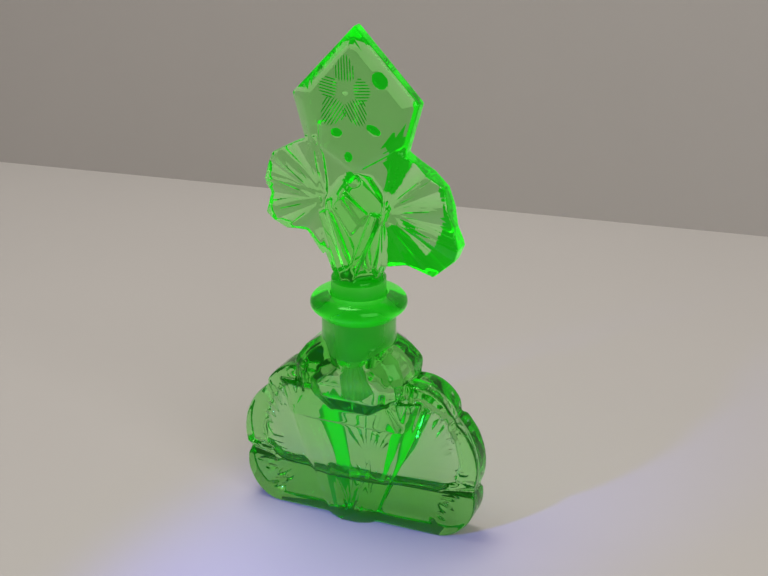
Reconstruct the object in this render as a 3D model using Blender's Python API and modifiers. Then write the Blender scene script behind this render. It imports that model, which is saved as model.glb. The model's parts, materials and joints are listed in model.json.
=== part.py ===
"""Pressed uranium-glass scent bottle with its ground stopper and dauber stub.

Metres, +Z up, the bottle standing on z = 0 with its neck on the Z axis. +X runs
across the two fan lobes and -Y is the front. Every glass piece is one object.
"""

from math import atan2, cos, pi, radians, sin

import bmesh
import bpy
from mathutils import Vector

MM = 0.001
FIT_GAP = 0.3 * MM  # between a ground face and the face it seats on
TURNED_STEPS = 64

# Bottle, heights above the table
NECK_FOOT = 49.5 * MM
LIP_TOP = 73.8 * MM
NECK_RADIUS = 11.1 * MM
LIP_RADIUS = 14.5 * MM
LIP_HEIGHT = 6.4 * MM
LIP_OVERLAP = 1.2 * MM  # how far the lip's roll reaches into the neck
LIP_ARC = range(80, -90, -10)  # degrees, from near the top of the roll to near its foot
BLOCK_RINGS = (  # height, half width, half depth and corner chamfer in mm, from the foot up
    (35.0, 17.4, 11.4, 0.8), (43.5, 17.4, 11.4, 4.6), (51.6, 17.4, 11.4, 3.0),
    (53.4, 16.8, 10.8, 3.2), (56.6, 14.6, 9.8, 3.6), (60.0, 9.8, 8.2, 3.2),
)
LOBE_SHIFT = 1.2 * MM  # the moulded lobes stand this far to the right of the neck's axis
LOBE_TOP = 50.0 * MM
LOBE_END = 42.0 * MM  # plan taper reaches past the widest scallop
LOBE_RIM_HALF_DEPTH = 4.3 * MM
LOBE_ROOT = 18.0 * MM
LOBE_ROOT_HALF_DEPTH = 6.8 * MM
RIM_BEVEL = 1.4 * MM
SHIELD_RAKE = 2.4 / 44.0  # the shield grows deeper towards the block
SHIELD_HALF_DEPTHS = (8.6 * MM, 7.2 * MM, 5.2 * MM)  # of its face, crease and root, at the foot

# Hollow
CAVITY_PLAN = ((5.0, 4.4), (16.0, 2.8), (34.0, 2.5))  # half width and half depth in mm
CAVITY_FILLET = 1.8 * MM
FILLET_SEGMENTS = 3
SHARP_EDGE = 60  # degrees; only the hollow's edges over this are rounded
WELL_RINGS = (  # the hollow of the block, as BLOCK_RINGS
    (35.0, 5.6, 3.6, 1.6), (41.5, 12.6, 6.4, 3.2), (46.0, 13.4, 7.4, 3.4), (49.0, 10.0, 7.2, 3.2),
    (51.0, 6.0, 6.0, 2.4),
)
BORE_END = 46.0 * MM
BORE_MOUTH_RADIUS = 8.45 * MM
BORE_FOOT_RADIUS = 7.0 * MM

# Stopper
PLUG_SHOULDER = 79.6 * MM
PLUG_FOOT = 51.0 * MM
PLUG_TOP_RADIUS = BORE_MOUTH_RADIUS - FIT_GAP
PLUG_FOOT_RADIUS = BORE_FOOT_RADIUS - FIT_GAP
PLATE_HALF_DEPTH = 4.2 * MM
KITE_BEVEL = 3.9 * MM
KITE_BEVEL_DROP = 2.3 * MM
FAN_EDGE_HALF_DEPTH = 3.6 * MM
PLEAT_DROP = 1.5 * MM

# Dauber stub
STUB_RADIUS = 5.1 * MM
STUB_FOOT = 39.5 * MM
TENON_RADIUS = 2.6 * MM
TENON_HEIGHT = 7.0 * MM

SCALLOPS = (  # start, crown and end of each scallop of the right lobe, (x, z) in mm
    ((15.6, 48.4), (25.6, 46.4), (30.6, 39.2)),
    ((30.6, 39.2), (37.4, 29.6), (37.2, 16.4)),
    ((37.2, 16.4), (35.8, 5.4), (27.5, 0.0)),
)
ARC_STEPS = 10
SHIELD_OUTLINES = (  # right halves of its face, crease and root
    ((13.2, 44.0), (7.5, 25.0), (2.6, 0.0)),
    ((19.6, 44.0), (14.6, 25.0), (6.0, 0.0)),
    ((23.0, 44.0), (17.6, 25.0), (8.5, 0.0)),
)
CAVITY_HALF = (
    (12.0, 42.0), (20.0, 43.0), (26.4, 39.6), (31.0, 32.0), (32.8, 24.0), (31.0, 17.4), (26.0, 14.2),
    (12.0, 13.6),
)
KITE_HALF = ((19.4, 131.8), (15.2, 117.0), (0.0, 107.6))
KITE_APEX = 152.2
RIGHT_FAN = (
    (12.5, 118.6), (18.4, 115.4), (22.6, 112.2), (27.2, 108.8), (28.6, 102.8),
    (30.0, 97.6), (31.8, 91.8), (30.4, 87.8), (24.6, 82.8), (16.0, 84.6), (9.0, 83.6),
)
LEFT_FAN = (
    (-12.5, 119.6), (-19.2, 117.2), (-25.6, 113.8), (-27.4, 111.0), (-28.4, 105.2),
    (-27.0, 101.4), (-28.0, 95.4), (-26.4, 92.8), (-21.6, 91.4), (-15.6, 91.0), (-9.8, 84.6),
)
FAN_HEARTS = ((8.6, 99.6), (-9.4, 101.6))
WEB_HALF = ((15.0, 117.4), (13.6, 103.0), (11.0, 90.0), (7.2, 80.0))
WEB_HALF_DEPTH = 3.2 * MM
STEM_RINGS = (  # height, half width, half width of the front facet and half depth in mm
    (77.6, 7.6, 0.3, 7.6), (98.5, 11.0, 6.8, 5.2), (108.5, 12.5, 0.8, 4.6),
)


def clear_scene():
    for thing in list(bpy.data.objects):
        bpy.data.objects.remove(thing, do_unlink=True)


def make_collection(name, parent):
    group = bpy.data.collections.new(name)
    parent.children.link(group)
    return group


def glass(name, colour, roughness):
    material = bpy.data.materials.new(name)
    material.use_nodes = True
    shader = material.node_tree.nodes["Principled BSDF"]
    shader.inputs["Base Color"].default_value = (*colour, 1.0)
    shader.inputs["Roughness"].default_value = roughness
    shader.inputs["Metallic"].default_value = 0.0
    shader.inputs["Transmission Weight"].default_value = 0.8
    shader.inputs["IOR"].default_value = 1.5
    return material


def add_object(name, bm, group):
    """The bmesh as an object of the group, triangulated, with its faces turned outwards."""
    bmesh.ops.triangulate(bm, faces=bm.faces)
    bmesh.ops.recalc_face_normals(bm, faces=bm.faces)
    mesh = bpy.data.meshes.new(name)
    bm.to_mesh(mesh)
    bm.free()
    thing = bpy.data.objects.new(name, mesh)
    group.objects.link(thing)
    return thing


def add_cutter(name, bm):
    thing = add_object(name, bm, cutters)
    thing.hide_render = True
    thing.display_type = "WIRE"
    return thing


def mirrored(half, closed_at_top=None):
    """A whole outline from the points of its right half, given from the top down, in metres."""
    right = [(x * MM, z * MM) for x, z in half]
    top = [] if closed_at_top is None else [(0.0, closed_at_top * MM)]
    left = [(-x, z) for x, z in reversed(right) if x > 0]
    return top + right + left


def slab(points, y_front, y_back):
    """A closed slab over an outline in XZ. Returns the bmesh with its front and back faces."""
    bm = bmesh.new()
    corners = [bm.verts.new((x, y_front, z)) for x, z in points]
    front = bm.faces.new(corners)
    made = bmesh.ops.extrude_face_region(bm, geom=[front])
    moved = [item for item in made["geom"] if isinstance(item, bmesh.types.BMVert)]
    back = next(item for item in made["geom"] if isinstance(item, bmesh.types.BMFace))
    bmesh.ops.translate(bm, verts=moved, vec=(0, y_back - y_front, 0))
    bm.faces.ensure_lookup_table()
    if front not in bm.faces[:]:
        front = next(f for f in bm.faces if all(abs(v.co.y - y_front) < 1e-9 for v in f.verts))
    bmesh.ops.recalc_face_normals(bm, faces=bm.faces)
    return bm, front, back


def bevelled_slab(points, half_depth, inset, drop):
    """A slab centred on y = 0 whose front and back rims are bevelled by inset and drop."""
    bm, front, back = slab(points, -(half_depth - drop), half_depth - drop)
    bmesh.ops.inset_region(bm, faces=[front], thickness=inset, depth=drop, use_even_offset=True)
    bmesh.ops.inset_region(bm, faces=[back], thickness=inset, depth=drop, use_even_offset=True)
    return bm


def turned(name, profile, group):
    """A solid of revolution about Z from (radius, z) points that run from the top down."""
    bm = bmesh.new()
    points = [bm.verts.new((radius, 0.0, z)) for radius, z in profile]
    for upper, lower in zip(points, points[1:]):
        bm.edges.new((upper, lower))
    mesh = bpy.data.meshes.new(name)
    bm.to_mesh(mesh)
    bm.free()
    thing = bpy.data.objects.new(name, mesh)
    group.objects.link(thing)
    screw = thing.modifiers.new("Turn", "SCREW")
    screw.axis = "Z"
    screw.steps = TURNED_STEPS
    screw.render_steps = TURNED_STEPS
    screw.use_merge_vertices = True
    screw.merge_threshold = 1e-5
    return thing


def turned_cutter(name, profile):
    thing = turned(name, profile, cutters)
    thing.hide_render = True
    thing.display_type = "WIRE"
    return thing


def combine(thing, other, operation):
    modifier = thing.modifiers.new(f"{operation.title()} {other.name}", "BOOLEAN")
    modifier.operation = operation
    modifier.solver = "EXACT"
    modifier.object = other


def arc_points(start, crown, end, steps):
    """Points along the circle through three points, from start to end, without the end."""
    (ax, az), (bx, bz), (cx, cz) = start, crown, end
    twice = 2 * (ax * (bz - cz) + bx * (cz - az) + cx * (az - bz))
    a2, b2, c2 = ax * ax + az * az, bx * bx + bz * bz, cx * cx + cz * cz
    ox = (a2 * (bz - cz) + b2 * (cz - az) + c2 * (az - bz)) / twice
    oz = (a2 * (cx - bx) + b2 * (ax - cx) + c2 * (bx - ax)) / twice
    radius = Vector((ax - ox, az - oz)).length
    first = atan2(az - oz, ax - ox)
    turn = (atan2(cz - oz, cx - ox) - first) % (2 * pi) - 2 * pi
    angles = [first + turn * step / steps for step in range(steps)]
    return [(ox + radius * cos(angle), oz + radius * sin(angle)) for angle in angles]


def lobe_half_outline():
    points = []
    for scallop in SCALLOPS:
        points += arc_points(*scallop, ARC_STEPS)
    return points + [SCALLOPS[-1][-1]]


def shifted(outline, by):
    return [(x + by, z) for x, z in outline]


def lobes_bmesh():
    outline = shifted(mirrored(lobe_half_outline()), LOBE_SHIFT)
    return bevelled_slab(outline, LOBE_ROOT_HALF_DEPTH, RIM_BEVEL, RIM_BEVEL)


def lobe_plan_cutter():
    """The plan view of the lobes: deep by the shoulder block, thinner towards each rim."""
    half = ((LOBE_ROOT, -LOBE_ROOT_HALF_DEPTH), (LOBE_END, -LOBE_RIM_HALF_DEPTH))
    right = list(half) + [(x, -y) for x, y in reversed(half)]
    return add_cutter("lobe_plan", plan_prism(right))


def plan_prism(right):
    """An upright prism over the right half of a plan outline in XY and its mirror image."""
    outline = right + [(-x, y) for x, y in reversed(right)]
    return loft([[(x, y, z) for x, y in outline] for z in (-MM, LOBE_TOP)])


def flat_hollow_cutter():
    """The hollow of the lobes: thin towards their rims, with rounded edges."""
    outline = shifted(mirrored(CAVITY_HALF), LOBE_SHIFT)
    deepest = CAVITY_PLAN[0][1] * MM
    whole, _, _ = slab(outline, -deepest, deepest)
    hollow = add_cutter("flat_hollow", whole)
    half = [(x * MM, -y * MM) for x, y in CAVITY_PLAN]
    plan = add_cutter("hollow_plan", plan_prism(half + [(x, -y) for x, y in reversed(half)]))
    combine(hollow, plan, "INTERSECT")
    fillet = hollow.modifiers.new("Fillet", "BEVEL")
    fillet.width = CAVITY_FILLET
    fillet.segments = FILLET_SEGMENTS
    fillet.limit_method = "ANGLE"
    fillet.angle_limit = radians(SHARP_EDGE)
    return hollow


def loft(loops):
    """A closed solid through outlines with equal numbers of points, capped at both ends."""
    bm = bmesh.new()
    rings = [[bm.verts.new(point) for point in loop] for loop in loops]
    for near, far in zip(rings, rings[1:]):
        for i in range(len(near)):
            j = (i + 1) % len(near)
            bm.faces.new((near[i], near[j], far[j], far[i]))
    bm.faces.new(rings[0])
    bm.faces.new(rings[-1])
    return bm


def shield_bmesh():
    """The kite shield that hangs below the block, raised on the front and the back."""
    front = []
    for half, depth in zip(SHIELD_OUTLINES, SHIELD_HALF_DEPTHS):
        front.append([(x, -depth - SHIELD_RAKE * z, z) for x, z in mirrored(half)])
    back = [[(x, -y, z) for x, y, z in loop] for loop in reversed(front)]
    return loft(front + back)


def octagon(half_width, half_depth, chamfer):
    """A rectangle in XY with cut corners, centred on the Z axis."""
    half = ((half_width - chamfer, -half_depth), (half_width, chamfer - half_depth))
    right = list(half) + [(x, -y) for x, y in reversed(half)]
    return right + [(-x, y) for x, y in reversed(right)]


def rings_bmesh(rings):
    """A solid through octagons stacked along the Z axis."""
    loops = []
    for height, *sizes in rings:
        outline = octagon(*[size * MM for size in sizes])
        loops.append([(x, y, height * MM) for x, y in outline])
    return loft(loops)


def neck_profile():
    """The neck and its rolled lip, from the middle of the lip's top down to inside the block."""
    half = LIP_HEIGHT / 2
    middle = LIP_TOP - half
    reach = LIP_RADIUS - NECK_RADIUS + LIP_OVERLAP
    heart = LIP_RADIUS - reach
    lip = [(heart + reach * cos(radians(a)), middle + half * sin(radians(a))) for a in LIP_ARC]
    foot = [(NECK_RADIUS, middle - half - MM), (NECK_RADIUS, NECK_FOOT)]
    return [(0.0, LIP_TOP)] + [(heart, LIP_TOP)] + lip + foot + [(0.0, NECK_FOOT)]


def bore_profile():
    return [
        (0.0, LIP_TOP + 2 * MM), (BORE_MOUTH_RADIUS, LIP_TOP + 2 * MM),
        (BORE_MOUTH_RADIUS, LIP_TOP - 1 * MM), (BORE_FOOT_RADIUS, PLUG_FOOT),
        (BORE_FOOT_RADIUS, BORE_END), (0.0, BORE_END),
    ]


def make_bottle():
    bottle = add_object("bottle", lobes_bmesh(), body)
    combine(bottle, lobe_plan_cutter(), "INTERSECT")
    combine(bottle, add_cutter("shield", shield_bmesh()), "UNION")
    combine(bottle, add_cutter("shoulder_block", rings_bmesh(BLOCK_RINGS)), "UNION")
    combine(bottle, turned_cutter("neck_and_lip", neck_profile()), "UNION")
    combine(bottle, flat_hollow_cutter(), "DIFFERENCE")
    combine(bottle, add_cutter("block_hollow", rings_bmesh(WELL_RINGS)), "DIFFERENCE")
    combine(bottle, turned_cutter("bore_and_well", bore_profile()), "DIFFERENCE")
    bottle.data.materials.append(glass("uranium_glass", (0.20, 0.62, 0.16), 0.06))
    return bottle


def pleated_fan(name, outline, heart):
    """A fan plate whose faces are creased from its heart out to every second rim point."""
    points = [(x * MM, z * MM) for x, z in outline]
    bm, front, back = slab(points, -FAN_EDGE_HALF_DEPTH, FAN_EDGE_HALF_DEPTH)
    for face, side in ((front, -1), (back, 1)):
        rim = sorted(face.verts, key=lambda v: points.index(nearest(points, v.co)))
        for vert in rim[1:-1:2]:
            vert.co.y -= side * PLEAT_DROP
        poked = bmesh.ops.poke(bm, faces=[face])
        centre = poked["verts"][0]
        centre.co = (heart[0] * MM, side * PLATE_HALF_DEPTH, heart[1] * MM)
    return add_cutter(name, bm)


def nearest(points, co):
    return min(points, key=lambda p: (p[0] - co.x) ** 2 + (p[1] - co.z) ** 2)


def stem_bmesh():
    """The stem: a round foot that opens into a flat facet framed by a V on the front and back."""
    loops = []
    for height, half_width, facet, half_depth in STEM_RINGS:
        half = [(facet, -half_depth), (half_width, 0.0), (facet, half_depth)]
        outline = half + [(-x, y) for x, y in reversed(half)]
        loops.append([(x * MM, y * MM, height * MM) for x, y in outline])
    return loft(loops)


def plug_profile():
    return [
        (0.0, PLUG_SHOULDER), (PLUG_TOP_RADIUS - MM, PLUG_SHOULDER),
        (PLUG_TOP_RADIUS, PLUG_SHOULDER - MM), (PLUG_TOP_RADIUS, LIP_TOP - MM),
        (PLUG_FOOT_RADIUS, PLUG_FOOT + MM), (PLUG_FOOT_RADIUS - MM, PLUG_FOOT), (0.0, PLUG_FOOT),
    ]


def socket_profile():
    radius = TENON_RADIUS + FIT_GAP
    return [(0.0, PLUG_FOOT + TENON_HEIGHT), (radius, PLUG_FOOT + TENON_HEIGHT),
            (radius, PLUG_FOOT - 2 * MM), (0.0, PLUG_FOOT - 2 * MM)]


def make_stopper():
    kite = bevelled_slab(mirrored(KITE_HALF, KITE_APEX), PLATE_HALF_DEPTH, KITE_BEVEL, KITE_BEVEL_DROP)
    stopper = add_object("stopper", kite, body)
    combine(stopper, pleated_fan("right_fan", RIGHT_FAN, FAN_HEARTS[0]), "UNION")
    combine(stopper, pleated_fan("left_fan", LEFT_FAN, FAN_HEARTS[1]), "UNION")
    web, _, _ = slab(mirrored(WEB_HALF), -WEB_HALF_DEPTH, WEB_HALF_DEPTH)
    combine(stopper, add_cutter("web", web), "UNION")
    combine(stopper, add_cutter("stem", stem_bmesh()), "UNION")
    combine(stopper, turned_cutter("ground_plug", plug_profile()), "UNION")
    combine(stopper, turned_cutter("dauber_socket", socket_profile()), "DIFFERENCE")
    stopper.data.materials.append(glass("stopper_glass", (0.20, 0.66, 0.16), 0.06))
    return stopper


def make_dauber():
    top = PLUG_FOOT - FIT_GAP
    profile = [
        (0.0, top + TENON_HEIGHT - MM), (TENON_RADIUS, top + TENON_HEIGHT - MM),
        (TENON_RADIUS, top), (STUB_RADIUS, top), (STUB_RADIUS, STUB_FOOT + MM),
        (STUB_RADIUS - MM, STUB_FOOT), (0.0, STUB_FOOT),
    ]
    dauber = turned("dauber_stub", profile, body)
    dauber.data.materials.append(glass("ground_glass", (0.25, 0.55, 0.18), 0.6))
    return dauber


clear_scene()
body = make_collection("uranium_glass_scent_bottle", bpy.context.scene.collection)
cutters = make_collection("cutters", bpy.context.scene.collection)
make_bottle()
make_stopper()
make_dauber()
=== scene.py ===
"""Looks for the pressed uranium-glass scent bottle: fire-polished relief, ground plug and glow."""

import json
import math

import bmesh
import bpy
from mathutils import Matrix, Vector

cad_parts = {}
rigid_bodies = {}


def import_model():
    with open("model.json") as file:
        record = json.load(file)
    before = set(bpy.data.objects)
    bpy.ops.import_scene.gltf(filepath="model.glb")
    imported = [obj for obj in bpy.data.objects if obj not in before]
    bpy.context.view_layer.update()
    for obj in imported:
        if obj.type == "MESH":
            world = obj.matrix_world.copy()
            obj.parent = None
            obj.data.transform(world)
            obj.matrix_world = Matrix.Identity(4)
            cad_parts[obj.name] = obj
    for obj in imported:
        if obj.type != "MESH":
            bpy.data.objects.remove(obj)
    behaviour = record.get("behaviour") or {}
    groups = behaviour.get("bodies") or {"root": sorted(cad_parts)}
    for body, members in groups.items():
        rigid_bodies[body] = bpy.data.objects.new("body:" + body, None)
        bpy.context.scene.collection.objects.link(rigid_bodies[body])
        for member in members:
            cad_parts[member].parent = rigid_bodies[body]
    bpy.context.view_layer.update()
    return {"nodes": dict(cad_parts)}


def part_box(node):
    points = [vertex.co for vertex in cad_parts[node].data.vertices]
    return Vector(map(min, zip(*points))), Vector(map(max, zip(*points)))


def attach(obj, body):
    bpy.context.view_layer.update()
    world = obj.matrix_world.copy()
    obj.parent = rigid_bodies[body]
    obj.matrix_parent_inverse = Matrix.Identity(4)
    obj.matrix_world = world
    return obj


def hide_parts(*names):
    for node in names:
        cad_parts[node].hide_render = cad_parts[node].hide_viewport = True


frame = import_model()

MM = 0.001
WELD = 0.002 * MM
FLAT_WITHIN = math.radians(0.4)
VOXEL = 0.34 * MM
ROUGH_FACES = 0.12  # share of the faces kept between the rounding and the relief
KEPT_FACES = 0.45
BOTTLE_PASSES, STOPPER_PASSES, LAST_PASSES = 9, 3, 2  # of smoothing, before and after the relief
SHARP_FROM = math.radians(32)
CLEAR_MIRROR = (0.32, 1.0, 0.28)  # reflections inside the glass come back green

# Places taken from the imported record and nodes
BOTTLE_LOW, BOTTLE_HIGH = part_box("bottle")
STOPPER_LOW, STOPPER_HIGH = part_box("stopper")
STUB_LOW, STUB_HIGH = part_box("dauber_stub")
LIP_TOP = BOTTLE_HIGH.z / MM
LOBE_MIDDLE = (BOTTLE_LOW.x + BOTTLE_HIGH.x) / 2 / MM
KITE_TOP = STOPPER_HIGH.z / MM

# Slots of the materials on the bottle and, up to the edge, on the stopper
CLEAR, GROUND, PAINTED_GLOW, EDGE_PAINTED_GLOW, LIP_PAINTED_GLOW, BASE_PAINTED_SHADE = range(6)

# Relief of the bottle, in millimetres: x across, z up
LOBE_ROOT, LOBE_ROOT_DEPTH = 18.0, 6.8  # where the lobes start to thin, and half their depth there
LOBE_THINNING, LOBE_REACH = 2.5, 24.0  # and how much it loses over how long a way
LOBE_HEART = (14.0, 16.0)
NOTCH_WIDTH, NOTCH_DEPTH = 5.2, 2.4
MITRE_WIDTH, MITRE_DEPTH = 2.5, 1.2
NOTCH_RAYS = ((54.4, 17.0, 30.5), (1.0, 12.5, 25.5), (87.0, 21.0, 33.0))  # angle, inner and outer radius
SCALLOP_RAYS = (  # angle, radius of the middle, length
    (61.0, 25.5, 8.0), (67.5, 26.5, 6.0), (80.5, 27.5, 6.5), (47.5, 22.5, 8.0), (40.0, 21.0, 6.0),
    (10.0, 18.5, 8.0), (-8.0, 17.5, 8.0), (-16.0, 16.5, 6.0), (-33.0, 16.5, 8.0), (-42.0, 15.5, 6.0),
)
SHIELD_FACE = 8.6
SHIELD_RAKE = 2.4 / 44.0
PETAL_WIDTH, PETAL_DEPTH = 3.4, 1.3
TOE_HEART = (0.4, 3.0)
TOE_WIDTH, TOE_DEPTH = 2.6, 0.9
PANEL_HEART = (0.9, 15.5)
PANEL_PETALS = ((-9.4, 33.5), (-3.6, 36.5), (2.4, 36.8), (7.4, 36.0), (11.6, 33.0))
TOE_PETALS = ((-3.2, 14.5), (0.6, 17.0), (4.0, 14.0))
ARM_FACE = ((13.2, 44.0), (7.5, 25.0), (2.6, 0.0))
ARM_CREASE = ((19.6, 44.0), (14.6, 25.0), (6.0, 0.0))
ARM_TOP_LEFT, ARM_TOP_RIGHT = 31.5, 34.5
ARM_GLOW_COPY_SHIFTS = {-1: (1.0, 1.9), 1: (1.2, 1.9)}  # left and right: shift of the painted glow copied from the flanks onto the hollow's rear wall
BASE_SHADE_EDGE = (-6.8, 15.5)  # y and z of the front edge of the painted shade, a darker tint on the base
BASE_SHADE_FALL = 0.32  # how fast its top falls towards the rear
ARM_FRONT = 6.5  # the flanks of the rear shield lie behind this
WALL_FRONT, WALL_REAR = 1.0, 5.0  # and the hollow's rear wall between these
BORE_REACH, BORE_TOP, BORE_FACING = 8.9, LIP_TOP - 0.6, 0.6
LIP_HEIGHT = 7.2
RIM_FACING = 0.45  # a face turned less than this to the front or rear belongs to the rim
RIM_START, RIM_TOP, RIM_DEPTH = 15.0, 50.0, 2.9
CORNER_X, CORNER_FACING, CORNER_LOW, CORNER_HIGH = -13.0, 0.3, 43.0, 53.5
GROUND_FOOT = 54.3  # the plug and the bore are ground down to here and clear below

# Relief of the stopper
PLATE_FACE = 4.2
FAN_FACE = 3.9
FLOWER_HEART = (-1.8, 134.1)
FLOWER_PETALS = (  # angle, length, half width
    (92.0, 12.0, 2.9), (170.0, 9.6, 3.4), (6.0, 8.6, 3.9), (236.0, 13.5, 3.7), (300.0, 12.0, 3.5),
)
HATCH_PITCH = 0.86
HATCH_START, HATCH_FLARE = 1.6, 1.1  # how near the heart the grooves begin, and how that grows outwards
HATCH_MARGIN, HATCH_LEAST = 0.6, 0.05
DROPS = (  # x, z, half length, half width and angle
    (-14.0, 136.0, 1.9, 1.1, 48.0), (8.4, 138.0, 2.6, 2.0, -50.0), (-4.7, 122.2, 1.8, 1.3, 0.0),
    (6.6, 124.0, 2.4, 1.2, -25.0), (-1.1, 115.5, 1.5, 1.2, 90.0), (-0.9, 109.4, 1.7, 1.6, 0.0),
)
RIGHT_HEART = (8.2, 99.8)
LEFT_HEART = (-9.6, 101.8)
RIGHT_RAYS = (72.0, 60.0, 48.0, 37.0, 26.0, 15.0, 4.0, -7.0, -18.0, -29.0, -40.0, -52.0)
LEFT_RAYS = (94.0, 105.0, 116.0, 127.0, 138.0, 149.0, 160.0, 171.0, 182.0, 193.0, 204.0, 215.0)
RHOMBUS = ((-2.4, 106.8), (-6.4, 100.9), (0.6, 91.4), (7.0, 99.8))
RIGHT_REACH, LEFT_REACH = 27.0, 22.0  # how far the rays run, and the fine lines between them
RIGHT_LINES, LEFT_LINES = 17.0, 16.0
RAY_START, RAY_WIDTH, RAY_DEPTHS = 3.0, 3.6, (1.1, 1.5)
LINE_START, LINE_TURN, LINE_FACE = 6.0, 5.5, 3.8
LINE_WIDTH, HATCH_WIDTH, LINE_DEPTH = 0.35, 0.36, 0.5
BEAD, BEAD_WIDTH, BEAD_DEPTH = (0.6, 108.6), 3.4, 1.4
PISTIL_WIDTH, DROP_DEPTH, DROP_SINK = 1.8, 0.9, 0.3
DROP_FRONT = -2.4  # only faces in front of this belong to a drop
RHOMBUS_SHARE, RHOMBUS_FOOT, RHOMBUS_TOP = 0.78, 3.0, 6.6
PLUG_TOP, APEX_HEIGHT = 77.0, 5.0
BAND_FRONT, BAND_TOP, BAND_RADIUS, SECTOR_RADIUS = 0.5, 122.0, 17.5, 5.0
UPPER_SECTOR, LOWER_SECTOR, MIDDLE_SECTOR = 62.0, -47.0, (-38.0, -29.0)
BEVEL_LOW, BEVEL_HIGH, BEVEL_OUTWARD, BEVEL_FACING = 108.0, 131.0, 0.2, (0.3, 0.93)
STOPPER_EDGE_LOW = 81.0
STEM_BAR_ENDS = (8.0, 6.2)  # half depth of the bars at their foot and head
STEM_BAR_ROOT, STEM_BAR_SPREAD, STEM_BAR_CREST = 2.0, 1.3, 0.55
STEM_BARS = (  # foot, head and half width of the V's arms
    ((-1.2, 79.8), (-9.0, 98.6), 1.7), ((0.4, 79.8), (7.4, 99.6), 1.7),
)

# Relief of the stub
RIBS, RIB_RADIUS, RIB_OFFSET, RIB_SIDES, RIB_RISE, RIB_LENGTH = 14, 0.6, 0.25, 12, 7.0, 20.0

# The glasses
BOTTLE_DENSITY, STOPPER_DENSITY = 95.0, 110.0
SMEAR = 0.05
GROUND_RIPPLE = 0.3
LIGHT_BOUNCES = 28

# The stage, in metres
WALL_LEFT, WALL_RIGHT = Vector((-2.0, 0.087, 0.0)), Vector((2.0, 0.505, 0.0))
WALL_HEIGHT = 1.2
CAMERA_PLACE = Vector((0.1557, -0.3462, 0.2283))
CAMERA_AIM = Vector((0.0068, 0.0029, 0.0745))
CAMERA_LENS = 65.4


def collection(name):
    group = bpy.data.collections.new(name)
    bpy.context.scene.collection.children.link(group)
    return group


def add_mesh(name, bm, group=None):
    bmesh.ops.recalc_face_normals(bm, faces=bm.faces)
    mesh = bpy.data.meshes.new(name)
    bm.to_mesh(mesh)
    bm.free()
    thing = bpy.data.objects.new(name, mesh)
    (group or bpy.context.scene.collection).objects.link(thing)
    return thing


def evaluated(thing):
    """Replaces the object's mesh with the result of its modifiers."""
    graph = bpy.context.evaluated_depsgraph_get()
    mesh = bpy.data.meshes.new_from_object(thing.evaluated_get(graph))
    thing.modifiers.clear()
    old, thing.data = thing.data, mesh
    bpy.data.meshes.remove(old)


def copy_of_node(name, node):
    """A clean, closed copy of a CAD node to carve."""
    bm = bmesh.new()
    bm.from_mesh(frame["nodes"][node].data)
    bmesh.ops.remove_doubles(bm, verts=bm.verts, dist=WELD)
    bmesh.ops.dissolve_limit(bm, angle_limit=FLAT_WITHIN, verts=bm.verts, edges=bm.edges)
    bmesh.ops.triangulate(bm, faces=bm.faces)
    return add_mesh(name, bm)


def boolean(thing, operation, group):
    """Joins the solids of a group to the object, or cuts them out of it, then drops the group."""
    modifier = thing.modifiers.new(operation, "BOOLEAN")
    modifier.operation = operation
    modifier.solver = "EXACT"
    modifier.operand_type = "COLLECTION"
    modifier.collection = group
    modifier.use_self = True
    evaluated(thing)
    for helper in list(group.objects):
        bpy.data.objects.remove(helper)
    bpy.data.collections.remove(group)


def carve(thing, group):
    boolean(thing, "DIFFERENCE", group)


def fire_polish(thing, passes, kept):
    """Rounds every edge a little, as the flame does on pressed glass, and leaves the facets flat."""
    remesh = thing.modifiers.new("Remesh", "REMESH")
    remesh.mode = "VOXEL"
    remesh.voxel_size = VOXEL
    smooth = thing.modifiers.new("Smooth", "SMOOTH")
    smooth.factor = 0.5
    smooth.iterations = passes
    decimate = thing.modifiers.new("Decimate", "DECIMATE")
    decimate.ratio = kept
    evaluated(thing)


def solid(name, points, faces, group):
    bm = bmesh.new()
    verts = [bm.verts.new(Vector(point) * MM) for point in points]
    for corners in faces:
        bm.faces.new([verts[i] for i in corners])
    add_mesh(name, bm, group)


def flute(group, start, end, width, depth, face, side):
    """A V-cut that opens from nothing at start to its full width and depth at end, over face(x)."""
    (x0, z0), (x1, z1) = start, end
    run = Vector((x1 - x0, z1 - z0))
    across = Vector((-run.y, run.x)).normalized() * width / 2
    lift = 1.0
    spread = (depth + lift) / depth
    y0, y1 = face(x0), face(x1)
    points = [
        (x0, side * (y0 + 0.02), z0),
        (x1, side * (y1 - depth), z1),
        (x1 + across.x * spread, side * (y1 + lift), z1 + across.y * spread),
        (x1 - across.x * spread, side * (y1 + lift), z1 - across.y * spread),
        (x0, side * (y0 + lift), z0),
    ]
    solid("flute", points, ((0, 1, 2), (0, 3, 1), (1, 3, 2), (0, 2, 4), (0, 4, 3), (4, 2, 3)), group)


def groove(group, start, end, width, depth, face, side):
    """A V-groove of even width whose two ends run out to points."""
    (x0, z0), (x1, z1) = start, end
    run = Vector((x1 - x0, z1 - z0))
    across = Vector((-run.y, run.x)).normalized() * width
    lift = depth
    low = [(x0 + run.x * t, z0 + run.y * t) for t in (0.2, 0.8)]
    left = [(x + across.x, z + across.y) for x, z in low]
    right = [(x - across.x, z - across.y) for x, z in reversed(low)]
    rim = [(x0, z0), *left, (x1, z1), *right]
    points = [(x, side * (face - depth), z) for x, z in low]
    points += [(x, side * (face + lift), z) for x, z in rim]
    faces = ((0, 1, 4, 3), (0, 3, 2), (0, 2, 7), (0, 7, 6, 1), (1, 5, 4), (1, 6, 5), (2, 3, 4, 5, 6, 7))
    solid("groove", points, faces, group)


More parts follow.
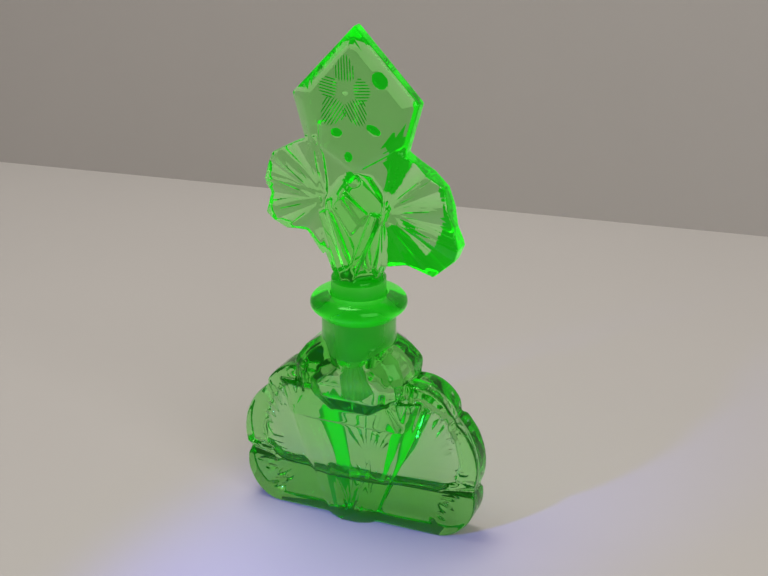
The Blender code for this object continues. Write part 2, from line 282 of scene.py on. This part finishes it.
def lens(group, centre, angle, length, width, depth, face, side, name="petal"):
    """A lens-shaped hollow, length along the given angle in the XZ plane."""
    bm = bmesh.new()
    place = Matrix.Translation(Vector((centre[0], side * face, centre[1])) * MM)
    turn = Matrix.Rotation(-math.radians(angle), 4, "Y")
    size = Matrix.Diagonal((length / 2 * MM, depth * MM, width / 2 * MM, 1))
    bmesh.ops.create_uvsphere(bm, u_segments=20, v_segments=10, radius=1.0, matrix=place @ turn @ size)
    add_mesh(name, bm, group)


def mitre(group, centre, angle, length, width, depth, face, side):
    """A pointed V-cut, deepest in the middle, with flat flanks."""
    start, end = polar(centre, angle + 180, length / 2), polar(centre, angle, length / 2)
    left, right = polar(centre, angle + 90, width / 2), polar(centre, angle - 90, width / 2)
    lift = 0.6
    spread = (depth + lift) / depth
    rim = [(centre[0] + (x - centre[0]) * spread, centre[1] + (z - centre[1]) * spread)
           for x, z in (start, right, end, left)]
    points = [(centre[0], side * (face - depth), centre[1])]
    points += [(x, side * (face + lift), z) for x, z in rim]
    solid("mitre", points, ((0, 1, 2), (0, 2, 3), (0, 3, 4), (0, 4, 1), (1, 4, 3, 2)), group)


def slice_mesh(thing, point, normal):
    """Adds an edge loop where the plane through a point meets the surface."""
    bm = bmesh.new()
    bm.from_mesh(thing.data)
    parts = bm.verts[:] + bm.edges[:] + bm.faces[:]
    bmesh.ops.bisect_plane(bm, geom=parts, dist=1e-7, plane_co=Vector(point) * MM,
                           plane_no=Vector(normal).normalized())
    bm.to_mesh(thing.data)
    bm.free()


def score(thing, start, end):
    """Slices along the plane through two points in XZ that holds the Y axis."""
    (x0, z0), (x1, z1) = start, end
    slice_mesh(thing, (x0, 0, z0), (z1 - z0, 0, x0 - x1))


def outline_at(outline, height):
    """The half width of a right-hand outline, given from the top down, at a height."""
    for (x0, z0), (x1, z1) in zip(outline, outline[1:]):
        if height >= z1:
            return x0 + (x1 - x0) * (z0 - height) / (z0 - z1)
    return outline[-1][0]


def polar(origin, angle, radius):
    a = math.radians(angle)
    return origin[0] + radius * math.cos(a), origin[1] + radius * math.sin(a)


# Materials ---------------------------------------------------------------------------


def new_material(name):
    material = bpy.data.materials.new(name)
    material.use_nodes = True
    return material, material.node_tree.nodes, material.node_tree.links


def noise(nodes, links, place, scale, detail, distortion=0.0):
    texture = nodes.new("ShaderNodeTexNoise")
    texture.inputs["Scale"].default_value = scale
    texture.inputs["Detail"].default_value = detail
    texture.inputs["Distortion"].default_value = distortion
    links.new(place.outputs["Object"], texture.inputs["Vector"])
    return texture


def cloud(nodes, links, place, shader, low, high, scale, detail):
    """Lets the colour drift between two tones."""
    texture = noise(nodes, links, place, scale, detail)
    tones = nodes.new("ShaderNodeValToRGB")
    tones.color_ramp.elements[0].color = (*low, 1.0)
    tones.color_ramp.elements[1].color = (*high, 1.0)
    links.new(texture.outputs["Fac"], tones.inputs["Fac"])
    links.new(tones.outputs["Color"], shader.inputs["Base Color"])


def flow_marks(nodes, links, place, shader, strength):
    """The slight waviness of pressed glass."""
    texture = noise(nodes, links, place, 130.0, 3.0, 0.6)
    bump = nodes.new("ShaderNodeBump")
    bump.inputs["Strength"].default_value = strength
    bump.inputs["Distance"].default_value = 0.3 * MM
    links.new(texture.outputs["Fac"], bump.inputs["Height"])
    links.new(bump.outputs["Normal"], shader.inputs["Normal"])


def smears(nodes, links, place, shader):
    """The handled surface: patches that are a little less glossy."""
    texture = noise(nodes, links, place, 220.0, 6.0)
    levels = nodes.new("ShaderNodeMapRange")
    levels.inputs["From Min"].default_value = 0.35
    levels.inputs["From Max"].default_value = 0.75
    levels.inputs["To Min"].default_value = SMEAR * 0.25
    levels.inputs["To Max"].default_value = SMEAR
    links.new(texture.outputs["Fac"], levels.inputs["Value"])
    links.new(levels.outputs["Result"], shader.inputs["Roughness"])


def grinding_rings(nodes, links, place, shader):
    """The rough, frosted surface with fine rings that the grinding leaves."""
    rings = nodes.new("ShaderNodeTexWave")
    rings.bands_direction = "Z"
    rings.inputs["Scale"].default_value = 900.0
    rings.inputs["Distortion"].default_value = 3.0
    levels = nodes.new("ShaderNodeMapRange")
    levels.inputs["To Min"].default_value = 0.42
    levels.inputs["To Max"].default_value = 0.62
    links.new(place.outputs["Object"], rings.inputs["Vector"])
    links.new(rings.outputs["Fac"], levels.inputs["Value"])
    links.new(levels.outputs["Result"], shader.inputs["Roughness"])


def green_glass(name, tint, glow, ripple, density, mirror, finish):
    """Tint colours each crossing, mirror each reflection; glow is the light the glass gives back."""
    material, nodes, links = new_material(name)
    shader = nodes["Principled BSDF"]
    shader.inputs["Transmission Weight"].default_value = 1.0
    shader.inputs["IOR"].default_value = 1.52
    shader.inputs["Emission Color"].default_value = (0.02, 1.0, 0.02, 1.0)
    shader.inputs["Emission Strength"].default_value = glow
    shader.inputs["Specular Tint"].default_value = (*mirror, 1.0)
    place = nodes.new("ShaderNodeTexCoord")
    cloud(nodes, links, place, shader, [c * 0.94 for c in tint], tint, 60.0, 2.0)
    flow_marks(nodes, links, place, shader, ripple)
    finish(nodes, links, place, shader)
    absorb = nodes.new("ShaderNodeVolumeAbsorption")
    absorb.inputs["Color"].default_value = (0.20, 0.94, 0.03, 1.0)
    absorb.inputs["Density"].default_value = density
    links.new(absorb.outputs["Volume"], nodes["Material Output"].inputs["Volume"])
    return material


def glass_material(name, tint, glow, ripple, density, mirror):
    return green_glass(name, tint, glow, ripple, density, mirror, smears)


def ground_material(name, tint, glow, density):
    return green_glass(name, tint, glow, GROUND_RIPPLE, density, (1.0, 1.0, 1.0), grinding_rings)


def assign(thing, materials, choose):
    """Gives each face the material whose index choose(centre, normal) returns."""
    thing.data.materials.clear()
    for material in materials:
        thing.data.materials.append(material)
    for face in thing.data.polygons:
        face.material_index = choose(face.center / MM, face.normal)


def shade(thing):
    thing.data.shade_smooth()
    thing.data.set_sharp_from_angle(angle=SHARP_FROM)


# The bottle --------------------------------------------------------------------------


def lobe_face(x):
    """Half the depth of the lobes, which thin out towards their rims."""
    return LOBE_ROOT_DEPTH - max(abs(x - LOBE_MIDDLE) - LOBE_ROOT, 0.0) * LOBE_THINNING / LOBE_REACH


def lobe_relief(group):
    """V-cuts that run in from the notches of the rim, and shorter mitres between them."""
    for mirror in (1, -1):
        heart = (LOBE_MIDDLE + mirror * LOBE_HEART[0], LOBE_HEART[1])
        for side in (-1, 1):
            for angle, inner, outer in NOTCH_RAYS:
                turn = angle if mirror > 0 else 180 - angle
                start, end = polar(heart, turn, inner), polar(heart, turn, outer)
                flute(group, start, end, NOTCH_WIDTH, NOTCH_DEPTH, lobe_face, side)
            for angle, radius, length in SCALLOP_RAYS:
                turn = angle if mirror > 0 else 180 - angle
                middle = polar(heart, turn, radius)
                mitre(group, middle, turn, length, MITRE_WIDTH, MITRE_DEPTH, lobe_face(middle[0]), side)


def petals(group, heart, tips, width, depth, side):
    for tip in tips:
        middle = ((heart[0] + tip[0]) / 2, (heart[1] + tip[1]) / 2)
        run = Vector((tip[0] - heart[0], tip[1] - heart[1]))
        angle = math.degrees(math.atan2(run.y, run.x))
        face = SHIELD_FACE + SHIELD_RAKE * middle[1]
        mitre(group, middle, angle, run.length, width, depth, face, side)


def panel_relief(group):
    """Petals cut into the shield: a tall fan on its rear, and a small one at both toes."""
    petals(group, PANEL_HEART, PANEL_PETALS, PETAL_WIDTH, PETAL_DEPTH, 1)
    for side in (-1, 1):
        petals(group, TOE_HEART, TOE_PETALS, TOE_WIDTH, TOE_DEPTH, side)


def in_arm(x, z):
    top = ARM_TOP_RIGHT if x > 0 else ARM_TOP_LEFT
    return z < top and outline_at(ARM_FACE, z) < abs(x) < outline_at(ARM_CREASE, z)


def on_arm_painted_glow(centre, normal):
    """True on the rear shield's steep flanks and on painted copies of them on the hollow's rear wall;
    all of these carry a painted glow of light trapped in the glass.
    """
    if centre.y > ARM_FRONT:
        return in_arm(centre.x, centre.z)
    dx, dz = ARM_GLOW_COPY_SHIFTS[1 if centre.x > 0 else -1]
    on_wall = WALL_FRONT < centre.y < WALL_REAR and normal.y < -0.5
    return on_wall and in_arm(centre.x - dx, centre.z - dz)


def in_base_painted_shade(centre):
    """The thick base, tinted darker than the lobes as painted shade; its top falls from the front to the
    rear.
    """
    return centre.z < BASE_SHADE_EDGE[1] - BASE_SHADE_FALL * (centre.y - BASE_SHADE_EDGE[0])


# Slices along the lines of the flanks' outlines and of their shifted painted glow copies on the hollow's
# rear wall.
def score_arms(bottle):
    for outline in (ARM_FACE, ARM_CREASE):
        for (x0, z0), (x1, z1) in zip(outline, outline[1:]):
            for side in (1, -1):
                for dx, dz in ((0, 0), ARM_GLOW_COPY_SHIFTS[side]):
                    score(bottle, (side * x0 + dx, z0 + dz), (side * x1 + dx, z1 + dz))


# Side-on faces of the lobes' rims, which carry a painted glow of light trapped along the edges.
def on_rim(centre, normal):
    side_on = abs(normal.y) < RIM_FACING and abs(centre.y) > RIM_DEPTH
    return side_on and abs(centre.x - LOBE_MIDDLE) > RIM_START and centre.z < RIM_TOP


def on_corner(centre, normal):
    """The left corner of the block, which carries a painted glow of light trapped in the glass."""
    return centre.x < CORNER_X and abs(normal.x) > CORNER_FACING and CORNER_LOW < centre.z < CORNER_HIGH


def bottle_slot(centre, normal):
    in_bore = math.hypot(centre.x, centre.y) < BORE_REACH and GROUND_FOOT < centre.z < BORE_TOP
    if in_bore and abs(normal.z) < BORE_FACING:
        return GROUND
    # painted glow on the shield's flanks and on their copies on the hollow's rear wall
    if on_arm_painted_glow(centre, normal):
        return PAINTED_GLOW
    # The top of the bottle down to LIP_HEIGHT carries a painted glow of light trapped in the thick lip.
    if centre.z > LIP_TOP - LIP_HEIGHT:
        return LIP_PAINTED_GLOW
    # painted glow on the rims and on the block's left corner
    if on_rim(centre, normal) or on_corner(centre, normal):
        return EDGE_PAINTED_GLOW
    return BASE_PAINTED_SHADE if in_base_painted_shade(centre) else CLEAR


def bottle_glasses():
    """In the order of the slots."""
    density, mirror = BOTTLE_DENSITY, CLEAR_MIRROR
    arm_painted_glow_tint, arm_painted_glow_mirror = (0.001, 0.70, 0.001), (0.02, 0.8, 0.02)
    return [
        glass_material("uranium_glass", (0.97, 1.0, 0.96), 0.006, 0.10, density, mirror),
        ground_material("ground_bore", (0.80, 1.0, 0.62), 0.07, density),
        # painted glow: deep green tint and strong emission stand in for light trapped in the flanks
        glass_material("uranium_glass_arm_painted_glow", arm_painted_glow_tint, 0.20, 0.06, density, arm_painted_glow_mirror),
        # painted glow: a deeper green tint and more emission on the edges
        glass_material("uranium_glass_edge_painted_glow", (0.42, 0.92, 0.40), 0.03, 0.06, density, mirror),
        # painted glow: deeper green tint and more emission on the lip
        glass_material("uranium_glass_lip_painted_glow", (0.30, 0.94, 0.26), 0.15, 0.08, density, mirror),
        # painted shade: a darker tint on the thick base
        glass_material("uranium_glass_base_painted_shade", (0.62, 0.78, 0.55), 0.006, 0.10, density, mirror),
    ]


def make_bottle():
    bottle = copy_of_node("bottle_glass", "bottle")
    fire_polish(bottle, BOTTLE_PASSES, ROUGH_FACES)
    cuts = collection("bottle_cuts")
    lobe_relief(cuts)
    panel_relief(cuts)
    carve(bottle, cuts)
    fire_polish(bottle, LAST_PASSES, KEPT_FACES)
    score_arms(bottle)
    score(bottle, (-20, GROUND_FOOT), (20, GROUND_FOOT))
    # An edge loop along the top of the painted shade on the base.
    slice_mesh(bottle, (0, *BASE_SHADE_EDGE), (0, BASE_SHADE_FALL, 1))
    shade(bottle)
    assign(bottle, bottle_glasses(), bottle_slot)
    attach(bottle, "bottle")
    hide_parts("bottle")


# The stopper -------------------------------------------------------------------------


def fan_face(x):
    return FAN_FACE


def fan_relief(group):
    fans = ((RIGHT_HEART, RIGHT_RAYS, RIGHT_REACH), (LEFT_HEART, LEFT_RAYS, LEFT_REACH))
    for heart, rays, reach in fans:
        for i, angle in enumerate(rays):
            start, end = polar(heart, angle, RAY_START), polar(heart, angle, reach)
            for side in (-1, 1):
                flute(group, start, end, RAY_WIDTH, RAY_DEPTHS[i % 2], fan_face, side)


def stem_bars(group):
    """The two arms of the V on the stem, as raised bars with slanting sides."""
    for (x0, z0), (x1, z1), half_width in STEM_BARS:
        run = Vector((x1 - x0, z1 - z0)).normalized()
        across = Vector((-run.y, run.x)) * half_width
        for side in (-1, 1):
            points = []
            for x, z, top in ((x0, z0, STEM_BAR_ENDS[0]), (x1, z1, STEM_BAR_ENDS[1])):
                for y, share in ((STEM_BAR_ROOT, STEM_BAR_SPREAD), (top, STEM_BAR_CREST)):
                    points.append((x + across.x * share, side * y, z + across.y * share))
                    points.append((x - across.x * share, side * y, z - across.y * share))
            faces = ((0, 2, 3, 1), (4, 5, 7, 6), (0, 4, 6, 2), (1, 3, 7, 5), (2, 6, 7, 3), (0, 1, 5, 4))
            solid("stem_bar", points, faces, group)


def drop_relief(group):
    lens(group, FLOWER_HEART, 0, PISTIL_WIDTH, PISTIL_WIDTH, DROP_DEPTH, PLATE_FACE, -1)
    face = PLATE_FACE - DROP_SINK
    for x, z, half_length, half_width, angle in DROPS:
        lens(group, (x, z), angle, half_length * 2, half_width * 2, DROP_DEPTH, face, -1)


def flower_hatching(group):
    """Each petal of the flower is a bundle of fine grooves along its own axis."""
    for angle, length, half_width in FLOWER_PETALS:
        lines = int(half_width / HATCH_PITCH)
        for line in range(-lines, lines + 1):
            across = line * HATCH_PITCH
            share = across / (half_width + HATCH_MARGIN)
            reach = length * math.sqrt(max(1 - share ** 2, HATCH_LEAST))
            middle = polar(FLOWER_HEART, angle + 90, across)
            near = max(HATCH_START, abs(across) * HATCH_FLARE)
            start, end = polar(middle, angle, near), polar(middle, angle, reach)
            groove(group, start, end, HATCH_WIDTH, LINE_DEPTH, PLATE_FACE, -1)


def fan_hatching(group):
    """Fine lines that run between the rays of the fans."""
    fans = ((RIGHT_HEART, RIGHT_RAYS, RIGHT_LINES), (LEFT_HEART, LEFT_RAYS, LEFT_LINES))
    for heart, rays, reach in fans:
        for angle in rays:
            turn = angle + LINE_TURN
            start, end = polar(heart, turn, LINE_START), polar(heart, turn, reach)
            groove(group, start, end, LINE_WIDTH, LINE_DEPTH, LINE_FACE, -1)


def rhombus_facet(group):
    """The raised rhombus where the two fans meet under the kite."""
    middle = (sum(p[0] for p in RHOMBUS) / 4, sum(p[1] for p in RHOMBUS) / 4)
    bm = bmesh.new()
    for side in (-1, 1):
        low = [bm.verts.new((x * MM, side * RHOMBUS_FOOT * MM, z * MM)) for x, z in RHOMBUS]
        top = []
        for x, z in RHOMBUS:
            x = middle[0] + (x - middle[0]) * RHOMBUS_SHARE
            z = middle[1] + (z - middle[1]) * RHOMBUS_SHARE
            top.append(bm.verts.new((x * MM, side * RHOMBUS_TOP * MM, z * MM)))
        for i in range(4):
            j = (i + 1) % 4
            bm.faces.new((low[i], low[j], top[j], top[i]))
        bm.faces.new(top)
        bm.faces.new(low)
    add_mesh("rhombus", bm, group)


def in_drop(centre):
    if centre.y > DROP_FRONT:
        return False
    for x, z, half_length, half_width, angle in DROPS:
        along = Vector((math.cos(math.radians(angle)), math.sin(math.radians(angle))))
        away = Vector((centre.x - x, centre.z - z))
        if (away.dot(along) / half_length) ** 2 + (away.cross(along) / half_width) ** 2 < 1:
            return True
    return False


def in_fan_band(centre):
    """The outer band of the right fan and three of its sectors, on the rear, which carry a painted glow.
    """
    if centre.y <= BAND_FRONT or centre.x <= RIGHT_HEART[0] or centre.z >= BAND_TOP:
        return False
    dx, dz = centre.x - RIGHT_HEART[0], centre.z - RIGHT_HEART[1]
    away, turn = math.hypot(dx, dz), math.degrees(math.atan2(dz, dx))
    in_sector = turn > UPPER_SECTOR or turn < LOWER_SECTOR or MIDDLE_SECTOR[0] < turn < MIDDLE_SECTOR[1]
    return away > BAND_RADIUS or (away > SECTOR_RADIUS and in_sector)


def on_lower_bevel(centre, normal):
    """The rear bevel at the kite's lower right, which carries a painted glow."""
    outward = normal.x > BEVEL_OUTWARD and BEVEL_FACING[0] < normal.y < BEVEL_FACING[1]
    return centre.y > 0 and outward and BEVEL_LOW < centre.z < BEVEL_HIGH


def stopper_slot(centre, normal):
    if centre.z < PLUG_TOP:
        return GROUND if centre.z > GROUND_FOOT else CLEAR
    # The kite's apex, the drops, the fan's band and sectors and the lower bevel carry a painted glow of
    # light trapped in the glass.
    if centre.z > KITE_TOP - APEX_HEIGHT or in_drop(centre):
        return PAINTED_GLOW
    if in_fan_band(centre) or on_lower_bevel(centre, normal):
        return PAINTED_GLOW
    # Side-on faces of the stopper above STOPPER_EDGE_LOW carry a painted glow along its edges.
    return EDGE_PAINTED_GLOW if abs(normal.y) < RIM_FACING and centre.z > STOPPER_EDGE_LOW else CLEAR


def stopper_glasses():
    """In the order of the slots."""
    density, mirror = STOPPER_DENSITY, CLEAR_MIRROR
    band_painted_glow_tint, band_painted_glow_mirror = (0.001, 0.70, 0.001), (0.03, 0.8, 0.03)
    return [
        glass_material("stopper_glass", (0.95, 1.0, 0.91), 0.035, 0.10, density, mirror),
        ground_material("ground_plug", (0.80, 1.0, 0.62), 0.055, BOTTLE_DENSITY),
        # painted glow: deep green tint and strong emission
        glass_material("stopper_glass_painted_glow", band_painted_glow_tint, 0.32, 0.06, density, band_painted_glow_mirror),
        # painted glow: a deeper green tint and more emission on the edges
        glass_material("stopper_glass_edge_painted_glow", (0.20, 0.92, 0.18), 0.16, 0.06, density, mirror),
    ]


def make_stopper():
    stopper = copy_of_node("stopper_glass", "stopper")
    extra = collection("stopper_additions")
    rhombus_facet(extra)
    stem_bars(extra)
    lens(extra, BEAD, 0, BEAD_WIDTH, BEAD_WIDTH, BEAD_DEPTH, PLATE_FACE, -1, "bead")
    boolean(stopper, "UNION", extra)
    fire_polish(stopper, STOPPER_PASSES, ROUGH_FACES)
    cuts = collection("stopper_cuts")
    fan_relief(cuts)
    drop_relief(cuts)
    carve(stopper, cuts)
    fire_polish(stopper, LAST_PASSES, KEPT_FACES)
    hatching = collection("hatching")
    flower_hatching(hatching)
    fan_hatching(hatching)
    carve(stopper, hatching)
    score(stopper, (-20, GROUND_FOOT), (20, GROUND_FOOT))
    shade(stopper)
    assign(stopper, stopper_glasses(), stopper_slot)
    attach(stopper, "stopper")
    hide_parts("stopper")


def make_dauber():
    """The ribbed, ground stub below the plug."""
    radius = (STUB_HIGH.x - STUB_LOW.x) / 2 / MM
    stub = copy_of_node("dauber_glass", "dauber_stub")
    cuts = collection("dauber_cuts")
    for step in range(RIBS):
        turn = math.tau * step / RIBS
        x, y = math.cos(turn) * (radius + RIB_OFFSET), math.sin(turn) * (radius + RIB_OFFSET)
        place = Matrix.Translation(Vector((x, y, STUB_LOW.z / MM + RIB_RISE)) * MM)
        bm = bmesh.new()
        bmesh.ops.create_cone(bm, cap_ends=True, segments=RIB_SIDES, radius1=RIB_RADIUS * MM,
                              radius2=RIB_RADIUS * MM, depth=RIB_LENGTH * MM, matrix=place)
        add_mesh("rib", bm, cuts)
    carve(stub, cuts)
    shade(stub)
    frosted = ground_material("ground_stub", (0.80, 1.0, 0.76), 0.015, BOTTLE_DENSITY)
    assign(stub, [frosted], lambda centre, normal: 0)
    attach(stub, "dauber")
    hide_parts("dauber_stub")


# Stage -------------------------------------------------------------------------------


def stage_material(name, colour, fleck):
    material, nodes, links = new_material(name)
    shader = nodes["Principled BSDF"]
    shader.inputs["Roughness"].default_value = 0.62
    place = nodes.new("ShaderNodeTexCoord")
    low, high = [c * (1 - fleck) for c in colour], [c * (1 + fleck) for c in colour]
    cloud(nodes, links, place, shader, low, high, 14.0, 8.0)
    return material


def plane(name, corners, material):
    bm = bmesh.new()
    bm.faces.new([bm.verts.new(corner) for corner in corners])
    mesh = bpy.data.meshes.new(name)
    bm.to_mesh(mesh)
    bm.free()
    thing = bpy.data.objects.new(name, mesh)
    bpy.context.scene.collection.objects.link(thing)
    mesh.materials.append(material)


def one_sided(material):
    """Leaves the rear of a backdrop clear, so that it doesn't hide the object from behind."""
    nodes, links = material.node_tree.nodes, material.node_tree.links
    side = nodes.new("ShaderNodeNewGeometry")
    clear = nodes.new("ShaderNodeBsdfTransparent")
    mix = nodes.new("ShaderNodeMixShader")
    links.new(side.outputs["Backfacing"], mix.inputs["Fac"])
    links.new(nodes["Principled BSDF"].outputs["BSDF"], mix.inputs[1])
    links.new(clear.outputs["BSDF"], mix.inputs[2])
    links.new(mix.outputs["Shader"], nodes["Material Output"].inputs["Surface"])


def make_stage():
    floor = stage_material("floor", (0.55, 0.51, 0.47), 0.02)
    wall = stage_material("backdrop", (0.46, 0.42, 0.385), 0.02)
    plane("floor", [(-2, -2, 0), (2, -2, 0), (2, 2, 0), (-2, 2, 0)], floor)
    one_sided(wall)
    up = Vector((0, 0, WALL_HEIGHT))
    plane("backdrop", [WALL_LEFT, WALL_RIGHT, WALL_RIGHT + up, WALL_LEFT + up], wall)


def place_lamp(data, location, target):
    lamp = bpy.data.objects.new(data.name, data)
    bpy.context.scene.collection.objects.link(lamp)
    lamp.location = location
    lamp.rotation_euler = (Vector(target) - Vector(location)).to_track_quat("-Z", "Y").to_euler()


def area_light(name, location, target, size, power, colour):
    data = bpy.data.lights.new(name, "AREA")
    data.shape = "RECTANGLE"
    data.size, data.size_y = size
    data.energy = power
    data.color = colour
    place_lamp(data, location, target)


def torch(location, target, power, colour):
    """The ultraviolet torch whose visible violet falls on the table before the bottle."""
    data = bpy.data.lights.new("violet", "SPOT")
    data.spot_size = math.radians(24)
    data.spot_blend = 1.0
    data.shadow_soft_size = 0.012
    data.energy = power
    data.color = colour
    place_lamp(data, location, target)


def make_lights():
    middle = (0, 0, 0.07)
    area_light("key", (-0.15, 0.08, 0.80), middle, (0.4, 0.3), 2.9, (1.0, 0.98, 0.95))
    area_light("fill", (0.6, -0.5, 0.5), middle, (0.6, 0.6), 3.0, (0.97, 0.98, 1.0))
    torch((-0.125, -0.30, 0.15), (0.0, -0.035, 0.01), 6.0, (0.09, 0.11, 1.0))
    world = bpy.data.worlds.new("studio")
    world.use_nodes = True
    world.node_tree.nodes["Background"].inputs["Color"].default_value = (0.86, 0.88, 0.9, 1)
    world.node_tree.nodes["Background"].inputs["Strength"].default_value = 0.36
    bpy.context.scene.world = world


def make_camera():
    data = bpy.data.cameras.new("camera")
    data.lens = CAMERA_LENS
    camera = bpy.data.objects.new("camera", data)
    bpy.context.scene.collection.objects.link(camera)
    camera.location = CAMERA_PLACE
    camera.rotation_euler = (CAMERA_AIM - CAMERA_PLACE).to_track_quat("-Z", "Y").to_euler()
    bpy.context.scene.camera = camera


def set_light_paths():
    """Glass this thick turns light back many times before it leaves."""
    cycles = bpy.context.scene.cycles
    cycles.max_bounces = LIGHT_BOUNCES
    cycles.transmission_bounces = LIGHT_BOUNCES
    cycles.glossy_bounces = LIGHT_BOUNCES
    bpy.context.scene.view_settings.view_transform = "Standard"


make_camera()
make_lights()
make_stage()
set_light_paths()
make_bottle()
make_stopper()
make_dauber()
